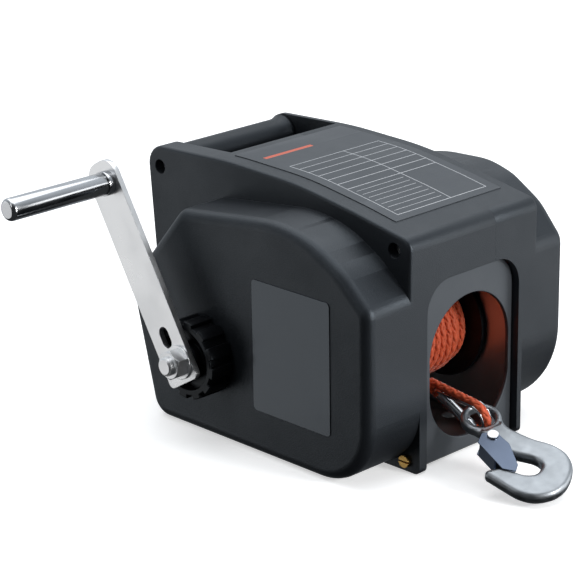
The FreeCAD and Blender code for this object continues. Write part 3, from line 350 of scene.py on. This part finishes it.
def make_finishes():
    arm_turn = (math.radians(31.0), 0.0, 0.0)
    made = {
        "housing": moulded_plastic("housing_plastic", (0.0105, 0.0120, 0.0145), 0.42, 1500.0, 0.00013,
                                   specular=0.60),
        "panel": moulded_plastic("panel_plastic", (0.050, 0.054, 0.060), 0.42, 2600.0, 0.00002),
        "label": moulded_plastic("label_film", (0.018, 0.021, 0.026), 0.17, 2600.0, 0.000003, 0.03, 0.85),
        "top_label": printed_label("top_label_film", (0.030, 0.032, 0.036), 0.42),
        "handle": moulded_plastic("handle_plastic", (0.0085, 0.0100, 0.0125), 0.42, 1500.0, 0.00007,
                                  specular=0.40),
        "knob": moulded_plastic("knob_plastic", (0.0035, 0.0035, 0.0042), 0.30, 1800.0, 0.00003,
                                specular=0.22),
        "relay": moulded_plastic("relay_plastic", (0.03, 0.03, 0.034), 0.3, 1200.0, 0.00003),
        "seal_rubber": moulded_plastic("seal_rubber_skin", (0.014, 0.014, 0.015), 0.6, 900.0, 0.00006),
        "zinc": plated_steel("zinc_plate", (0.88, 0.89, 0.90), 0.30, (60.0, 60.0, 900.0), arm_turn),
        "frame_steel": plated_steel("frame_sheet", (0.42, 0.43, 0.44), 0.38),
        "chrome": plated_steel("chrome_plate", (0.60, 0.61, 0.63), 0.14, (900.0, 60.0, 60.0)),
        "hook_steel": cast_metal("hook_forging", (0.38, 0.405, 0.43), 0.40),
        "latch_steel": plated_steel("latch_sheet", (0.13, 0.16, 0.22), 0.30),
        "brass": plated_steel("brass_screw", (0.72, 0.45, 0.14), 0.28, (300.0, 300.0, 300.0)),
        "gear_steel": plated_steel("gear_steel_cut", (0.35, 0.35, 0.36), 0.35, (60.0, 400.0, 400.0)),
        "bronze": cast_metal("bronze_bush", (0.45, 0.27, 0.10), 0.4),
        # Drum and its flanges: near black and dull, with little gloss.
        "drum_steel": moulded_plastic("drum_near_black", (0.005, 0.005, 0.006), 0.5, 700.0, 0.00003, specular=0.2),
        "motor_steel": moulded_plastic("motor_paint", (0.02, 0.02, 0.022), 0.38, 600.0, 0.00004),
        "magnet": cast_metal("magnet_ferrite", (0.06, 0.06, 0.065), 0.55),
        "copper": plated_steel("armature_copper", (0.5, 0.22, 0.09), 0.35, (900.0, 80.0, 80.0)),
        "rope": fibre_rope("rope_fibre", (0.68, 0.10, 0.030)),
    }
    return {slot: finish.material for slot, finish in made.items()}


# ---------------------------------------------------------------- mesh helpers
def new_piece(name, vertices, faces, slot, body, smooth=True):
    mesh = bpy.data.meshes.new(name)
    mesh.from_pydata(vertices, [], faces)
    mesh.update()
    if smooth:
        mesh.polygons.foreach_set("use_smooth", [True] * len(mesh.polygons))
    mesh.materials.append(finishes[slot])
    piece = bpy.data.objects.new(name, mesh)
    bpy.context.scene.collection.objects.link(piece)
    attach(piece, body)
    return piece


def frames_along(points):
    """Tangent, side and lift at each point, carried along without twist."""
    count = len(points)
    tangents = []
    for i in range(count):
        step = points[min(i + 1, count - 1)] - points[max(i - 1, 0)]
        tangents.append(step.normalized())
    side = tangents[0].orthogonal()
    made = []
    for tangent in tangents:
        side = (side - tangent * side.dot(tangent)).normalized()
        made.append((tangent, side, tangent.cross(side)))
    return made


def resampled(points, step):
    """Points at an even spacing along a polyline."""
    reach = [0.0]
    for a, b in zip(points, points[1:]):
        reach.append(reach[-1] + (b - a).length)
    count = max(2, round(reach[-1] / step))
    made = []
    k = 0
    for i in range(count + 1):
        want = reach[-1] * i / count
        while k < len(points) - 2 and reach[k + 1] < want:
            k += 1
        span = reach[k + 1] - reach[k]
        share = (want - reach[k]) / span if span > 0 else 0.0
        made.append(points[k].lerp(points[k + 1], min(1.0, max(0.0, share))))
    return made


ROPE_R = 2.9 * MM
STRAND_PAIRS = 4
BRAID_PITCH = 30.0 * MM
STRAND_SIDES = 6


def braid(points, step, swell=lambda share: 1.0):
    """Vertices and faces of a round braid whose strands pass over and under each other."""
    path = resampled(points, step)
    frames = frames_along(path)
    lengths = [0.0]
    for a, b in zip(path, path[1:]):
        lengths.append(lengths[-1] + (b - a).length)
    vertices = []
    faces = []
    total = lengths[-1]
    for way in (1, -1):
        for strand in range(STRAND_PAIRS):
            first = len(vertices)
            for i, centre in enumerate(path):
                tangent, side, lift = frames[i]
                scale = swell(lengths[i] / total)
                run = lengths[i]
                angle = way * 2 * math.pi * run / BRAID_PITCH + 2 * math.pi * strand / STRAND_PAIRS
                wave = way * math.cos(2 * STRAND_PAIRS * math.pi * run / BRAID_PITCH)
                reach = ROPE_R * scale * (0.60 + 0.10 * wave)
                outward = side * math.cos(angle) + lift * math.sin(angle)
                across = lift * math.cos(angle) - side * math.sin(angle)
                middle = centre + outward * reach
                for k in range(STRAND_SIDES):
                    turn = 2 * math.pi * k / STRAND_SIDES
                    vertices.append(middle + outward * (0.30 * ROPE_R * scale * math.cos(turn))
                                    + across * (0.56 * ROPE_R * scale * math.sin(turn)))
            for i in range(len(path) - 1):
                for k in range(STRAND_SIDES):
                    a = first + i * STRAND_SIDES + k
                    b = first + i * STRAND_SIDES + (k + 1) % STRAND_SIDES
                    faces.append((a, b, b + STRAND_SIDES, a + STRAND_SIDES))
            faces.append(tuple(first + k for k in range(STRAND_SIDES - 1, -1, -1)))
            last = first + (len(path) - 1) * STRAND_SIDES
            faces.append(tuple(last + k for k in range(STRAND_SIDES)))
    return vertices, faces


def joined(parts):
    vertices = []
    faces = []
    for more_vertices, more_faces in parts:
        first = len(vertices)
        vertices.extend(more_vertices)
        faces.extend(tuple(first + i for i in face) for face in more_faces)
    return vertices, faces


def lathe_x(profile, y, z, sides):
    """Closed surface turned about a line along X from (x, radius) points."""
    vertices = []
    faces = []
    for x, radius in profile:
        for k in range(sides):
            angle = 2 * math.pi * k / sides
            vertices.append(Vector((x, y + radius * math.cos(angle), z + radius * math.sin(angle))))
    for i in range(len(profile) - 1):
        for k in range(sides):
            a = i * sides + k
            b = i * sides + (k + 1) % sides
            faces.append((a, a + sides, b + sides, b))
    faces.append(tuple(range(sides)))
    faces.append(tuple(range(len(vertices) - 1, len(vertices) - sides - 1, -1)))
    return vertices, faces


# ---------------------------------------------------------------- rope
TAIL_ROUTE = [
    Vector((-0.0210, -0.01466, 0.07489)),
    Vector((-0.0210, -0.01715, 0.05144)),
    Vector((-0.0210, -0.03295, 0.03392)),
    Vector((-0.0210, -0.05603, 0.02905)),
    Vector((-0.0198, -0.07757, 0.03812)),
    Vector((-0.0180, -0.08852, 0.04355)),
]
EYE_APEX = Vector((-0.0176, -0.0940, 0.0460))
HOOK_EYE = Vector((-0.0154, -0.1360, 0.0321))
HOOK_NORMAL = Vector((-0.244, -0.268, 0.932)).normalized()
EYE_LENGTH = 49.5 * MM
EYE_BEND_R = 10.5 * MM
eye_u = (HOOK_EYE - EYE_APEX).normalized()
eye_v = (HOOK_NORMAL - eye_u * HOOK_NORMAL.dot(eye_u)).normalized()
eye_w = eye_u.cross(eye_v)


def spline_points(route):
    """Points of the NURBS spline that has the route as its control points."""
    curve = bpy.data.curves.new("route", "CURVE")
    curve.dimensions = "3D"
    spline = curve.splines.new("NURBS")
    spline.points.add(len(route) - 1)
    for point, place in zip(spline.points, route):
        point.co = (*place, 1.0)
    spline.order_u = 3
    spline.use_endpoint_u = True
    spline.resolution_u = 24
    holder = bpy.data.objects.new("route", curve)
    bpy.context.scene.collection.objects.link(holder)
    mesh = bpy.data.meshes.new_from_object(holder)
    points = [v.co.copy() for v in mesh.vertices]
    bpy.data.objects.remove(holder)
    bpy.data.meshes.remove(mesh)
    return points


def eye_path(shrink=0.0, start=0.0):
    """Points round the eye of the rope, from apex to apex, about its far bend."""
    centre = EYE_LENGTH - EYE_BEND_R
    radius = EYE_BEND_R - shrink
    half_gap = 0.9 * ROPE_R
    reach = math.hypot(centre - start, half_gap)
    lean = math.asin(radius / reach) - math.atan2(half_gap, centre - start)
    touch_angle = math.pi / 2 + lean
    local = [(start, half_gap)]
    steps = 28
    for i in range(steps + 1):
        angle = touch_angle - 2 * touch_angle * i / steps
        local.append((centre + radius * math.cos(angle), radius * math.sin(angle)))
    local.append((start, -half_gap))
    return [EYE_APEX + eye_u * u + eye_v * v for u, v in local]


def rope_tail():
    path = spline_points(TAIL_ROUTE)
    vertices, faces = braid(path, 1.2 * MM)
    piece = new_piece("rope_tail_braid", vertices, faces, "rope", "housing")
    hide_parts("rope_tail")
    return piece, path


def rope_eye():
    loop = braid(eye_path(), 1.2 * MM)
    neck = [EYE_APEX + eye_u * 0.006, EYE_APEX, TAIL_ROUTE[-1], TAIL_ROUTE[-1].lerp(TAIL_ROUTE[-2], 0.25)]
    splice = braid(neck, 1.2 * MM, swell=lambda share: 1.75 - 0.72 * share)
    vertices, faces = joined([loop, splice])
    piece = new_piece("rope_eye_braid", vertices, faces, "rope", "housing")
    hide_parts("rope_eye")
    return piece


def wound_turns(x_from, x_to, radius, pitch, start_angle, wobble, lift=0.0):
    """Points of rope wound on the drum, from one side to the other; lift raises its first stretch."""
    turns = abs(x_to - x_from) / pitch
    count = int(turns * 60)
    points = []
    for i in range(count + 1):
        share = i / count
        angle = start_angle + 2 * math.pi * turns * share
        x = x_from + (x_to - x_from) * share
        x += wobble * math.sin(2.3 * angle + 0.7) * math.sin(math.pi * share)
        reach = radius + 0.5 * wobble * math.sin(1.37 * angle)
        reach += lift * max(0.0, 1.0 - (angle - start_angle)) ** 2
        points.append(Vector((x, DRUM_Y + reach * math.cos(angle), DRUM_Z + reach * math.sin(angle))))
    return points


def wound_rope():
    """Three stretches of the same rope: the bottom layer, the main layer and the last few turns."""
    pitch = 5.75 * MM
    low_radius = 26.8 * MM
    main_radius = 29.8 * MM
    last_radius = 35.6 * MM
    left_end = -40.2 * MM
    right_end = 32.4 * MM
    step_x = 21.4 * MM
    low_start_angle = 0.4
    main_start_angle = 1.1
    calm = 0.3 * MM
    uneven = 0.7 * MM
    low = wound_turns(right_end, step_x - 0.4 * MM, low_radius, pitch, low_start_angle, calm)
    main = wound_turns(step_x, left_end, main_radius, pitch, main_start_angle, uneven)
    first = TAIL_ROUTE[0] - Vector((0, DRUM_Y, DRUM_Z))
    end_angle = math.atan2(first.z, first.y)
    lift = math.hypot(first.y, first.z) - last_radius
    last = wound_turns(TAIL_ROUTE[0].x, left_end, last_radius, pitch, end_angle, calm, lift)
    parts = [braid(stretch, 1.6 * MM) for stretch in (low, main, last)]
    core_left = -43.4 * MM
    core_step = 24.5 * MM
    core_right = 35.4 * MM
    core_high = 26.4 * MM
    core_low = 23.4 * MM
    core = lathe_x([(core_left, core_high), (core_step, core_high), (core_step, core_low),
                    (core_right, core_low)], DRUM_Y, DRUM_Z, 64)
    vertices, faces = joined(parts + [core])
    piece = new_piece("rope_wound", vertices, faces, "rope", "drum")
    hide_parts("rope_pack")


# ---------------------------------------------------------------- thimble and hook
def thimble():
    """Half-round steel trough swept round the inside of the rope eye."""
    path = resampled(eye_path(start=9.0 * MM), 1.0 * MM)
    inner = ROPE_R + 0.15 * MM
    outer = inner + 0.8 * MM
    spread = math.radians(98.0)
    steps = 14
    section = []
    for i in range(steps + 1):
        angle = -spread + 2 * spread * i / steps
        section.append((outer, angle))
    for i in range(steps + 1):
        angle = spread - 2 * spread * i / steps
        section.append((inner, angle))
    vertices = []
    faces = []
    count = len(path)
    size = len(section)
    for i, point in enumerate(path):
        tangent = (path[min(i + 1, count - 1)] - path[max(i - 1, 0)]).normalized()
        inward = tangent.cross(eye_w).normalized()
        for radius, angle in section:
            vertices.append(point + inward * (radius * math.cos(angle)) + eye_w * (radius * math.sin(angle)))
    for i in range(count - 1):
        for k in range(size):
            a = i * size + k
            b = i * size + (k + 1) % size
            faces.append((a, b, b + size, a + size))
    faces.append(tuple(range(size - 1, -1, -1)))
    faces.append(tuple(range((count - 1) * size, count * size)))
    piece = new_piece("thimble_trough", vertices, faces, "chrome", "housing")
    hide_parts("thimble")
    return piece


hook_e1 = (CAMERA_RIGHT - HOOK_NORMAL * CAMERA_RIGHT.dot(HOOK_NORMAL)).normalized()
hook_e2 = HOOK_NORMAL.cross(hook_e1)
hook_a = (hook_e1 * 0.512 - hook_e2 * 0.859).normalized()
hook_b = HOOK_NORMAL.cross(hook_a)
HOOK_OUTER = [(20, -10.5), (33, -16.6), (44, -24.3), (56, -27.2), (68, -22.6), (77.2, -11.5),
              (80, 0), (76.5, 12), (68.5, 19.2), (58.5, 22.8), (46, 26.6)]
HOOK_INNER = [(42.2, 21.5), (44.5, 16), (50, 11.2), (56.8, 6.2), (59.6, -0.5), (55.5, -7.2),
              (48.5, -6.6), (38, 2.0), (27, 8.5), (17, 10.5)]
HOOK_THICK = 9.0
HOOK_EYE_THICK = 7.0
BLADE_FROM_R = 14.2
RING_R = 13.2
HOLE_R = 9.0


def smooth_line(points, steps):
    """Catmull-Rom line through the points."""
    padded = [points[0]] + list(points) + [points[-1]]
    made = []
    for i in range(1, len(padded) - 2):
        p0, p1, p2, p3 = (Vector(padded[i + k]) for k in (-1, 0, 1, 2))
        for k in range(steps):
            t = k / steps
            made.append(0.5 * (2 * p1 + (p2 - p0) * t + (2 * p0 - 5 * p1 + 4 * p2 - p3) * t * t
                               + (3 * p1 - p0 - 3 * p2 + p3) * t ** 3))
    made.append(Vector(points[-1]))
    return made


def hook_outline():
    """Outer line of the hook in its own plane: ring, back, bowl, tip and inner edge."""
    ring = []
    begin = math.atan2(-10.5, 8.0)
    end = math.atan2(10.5, 8.0) - 2 * math.pi
    for i in range(41):
        angle = end + (begin - end) * i / 40
        ring.append(Vector((RING_R * math.cos(angle), RING_R * math.sin(angle))))
    outer = smooth_line([(8.0, -10.5), (13.5, -9.2)] + HOOK_OUTER, 8)
    tip = [Vector((44.6, 27.0)), Vector((43.0, 26.6)), Vector((41.9, 25.4)), Vector((41.6, 23.6))]
    inner = smooth_line(HOOK_INNER + [(12.5, 9.6), (8.0, 10.5)], 8)
    line = ring + outer[1:] + tip + inner
    cleaned = [line[0]]
    for point in line[1:]:
        if (point - cleaned[-1]).length > 0.12:
            cleaned.append(point)
    if (cleaned[0] - cleaned[-1]).length < 0.12:
        cleaned.pop()
    return cleaned


def flat_solid(name, loops, half_height, round_r):
    """Mesh of a flat shape with rounded rims, from closed loops of (a, b) in millimetres."""
    curve = bpy.data.curves.new(name, "CURVE")
    curve.dimensions = "2D"
    curve.fill_mode = "BOTH"
    for loop in loops:
        spline = curve.splines.new("POLY")
        spline.points.add(len(loop) - 1)
        for point, place in zip(spline.points, loop):
            point.co = (place[0], -place[1], 0.0, 1.0)
        spline.use_cyclic_u = True
    curve.extrude = half_height - round_r
    curve.bevel_depth = round_r
    curve.bevel_resolution = 4
    curve.offset = -round_r
    holder = bpy.data.objects.new(name, curve)
    bpy.context.scene.collection.objects.link(holder)
    mesh = bpy.data.meshes.new_from_object(holder)
    bpy.data.objects.remove(holder)
    return mesh


def hook_matrix():
    axes = Matrix((hook_a, hook_b, HOOK_NORMAL)).transposed().to_4x4()
    return Matrix.Translation(HOOK_EYE) @ axes @ Matrix.Scale(MM, 4)


def cleaned_mesh(mesh):
    """Joins the doubled points of a mesh and turns its faces outward."""
    work = bmesh.new()
    work.from_mesh(mesh)
    bmesh.ops.remove_doubles(work, verts=work.verts, dist=0.002)
    bmesh.ops.recalc_face_normals(work, faces=work.faces)
    work.to_mesh(mesh)
    work.free()


def hook():
    """Forged hook: its thinner eye and neck, and the thicker blade beyond them."""
    outline = hook_outline()
    hole = [(HOLE_R * math.cos(2 * math.pi * i / 48), HOLE_R * math.sin(2 * math.pi * i / 48))
            for i in range(48)]
    blade = [point for point in outline if point.length > BLADE_FROM_R]
    eye_piece = hook_part("hook_forging", [outline, hole], HOOK_EYE_THICK / 2, 2.2)
    hook_part("hook_blade", [blade], HOOK_THICK / 2, 3.4)
    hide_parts("hook_body")


def hook_part(name, loops, half_height, round_r):
    """One flat piece in the plane of the hook, with rounded rims."""
    mesh = flat_solid(name, loops, half_height, round_r)
    cleaned_mesh(mesh)
    mesh.transform(hook_matrix())
    finish_mesh(mesh, "hook_steel")
    piece = bpy.data.objects.new(name, mesh)
    bpy.context.scene.collection.objects.link(piece)
    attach(piece, "hook")
    return piece


def finish_mesh(mesh, slot):
    """Gives a mesh its finish, smooth but for its sharp edges."""
    mesh.materials.clear()
    mesh.materials.append(finishes[slot])
    mesh.shade_smooth()
    mesh.set_sharp_from_angle(angle=math.radians(40.0))


# ---------------------------------------------------------------- carried-over nodes
WELD_REACH = 0.01 * MM
SOFT_EDGES = {
    "left_shell": 0.5, "right_shell": 0.5, "fairlead_panel": 0.45, "side_label": 0.15, "top_label": 0.12,
    "clutch_knob": 0.7, "crank_arm": 0.35, "crank_washer": 0.25, "crank_nut": 0.35, "clutch_shaft": 0.25,
    "crank_grip": 0.3, "grip_spindle": 0.5, "side_screws": 0.35, "shell_screws": 0.3, "hook_latch": 0.2,
    "latch_rivet": 0.3, "base_plate": 0.4, "power_gland": 0.4, "remote_socket": 0.4, "drum_spool": 0.5,
}


def dress_node(name):
    """Gives a CAD node its finish and softens its sharp edges."""
    node = nodes[name]
    slot = slot_of[name]
    node.data.materials.clear()
    node.data.materials.append(finishes[slot])
    if name in SOFT_EDGES:
        weld = node.modifiers.new("joined_faces", "WELD")
        weld.merge_threshold = WELD_REACH
        bevel = node.modifiers.new("soft_edges", "BEVEL")
        bevel.width = SOFT_EDGES[name] * MM
        bevel.segments = 2
        bevel.limit_method = "ANGLE"
        bevel.angle_limit = math.radians(35.0)
        bevel.harden_normals = False


def handle_sleeve():
    """Moulded handle bar that flares where it meets the two ears."""
    low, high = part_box("handle_bar")
    middle = (low + high) / 2
    radius = (high.z - low.z) / 2
    flare = 2.2 * MM
    reach = 9.0 * MM
    profile = []
    steps = 60
    for i in range(steps + 1):
        x = low.x + (high.x - low.x) * i / steps
        edge = min(x - low.x, high.x - x)
        near = max(0.0, 1.0 - edge / reach)
        profile.append((x, radius + flare * near * near))
    vertices, faces = lathe_x(profile, middle.y, middle.z, 72)
    piece = new_piece("handle_sleeve", vertices, faces, "handle", "housing")
    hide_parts("handle_bar")


def bolt_thread():
    """Thread on the bare end of the crank bolt."""
    low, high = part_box("clutch_shaft")
    nut_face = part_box("crank_nut")[0].x
    y = (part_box("crank_washer")[0].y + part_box("crank_washer")[1].y) / 2
    z = (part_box("crank_washer")[0].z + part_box("crank_washer")[1].z) / 2
    pitch = 1.25 * MM
    root_r = 5.9 * MM
    crest_r = 6.35 * MM
    profile = []
    x = low.x + 0.7 * MM
    while x + pitch < nut_face + pitch:
        profile.extend([(x, root_r), (x + 0.4 * pitch, crest_r), (x + 0.6 * pitch, crest_r)])
        x += pitch
    vertices, faces = lathe_x(profile, y, z, 48)
    new_piece("bolt_thread", vertices, faces, "zinc", "crank", smooth=False)


finishes = make_finishes()
slot_of = {part["node"]: part["material_slot"] for part in frame["record"]["subparts"]}
make_camera()
tail, tail_path = rope_tail()
eye = rope_eye()
trough = thimble()
hook()
make_studio()
for node_name in nodes:
    dress_node(node_name)
wound_rope()
handle_sleeve()
bolt_thread()
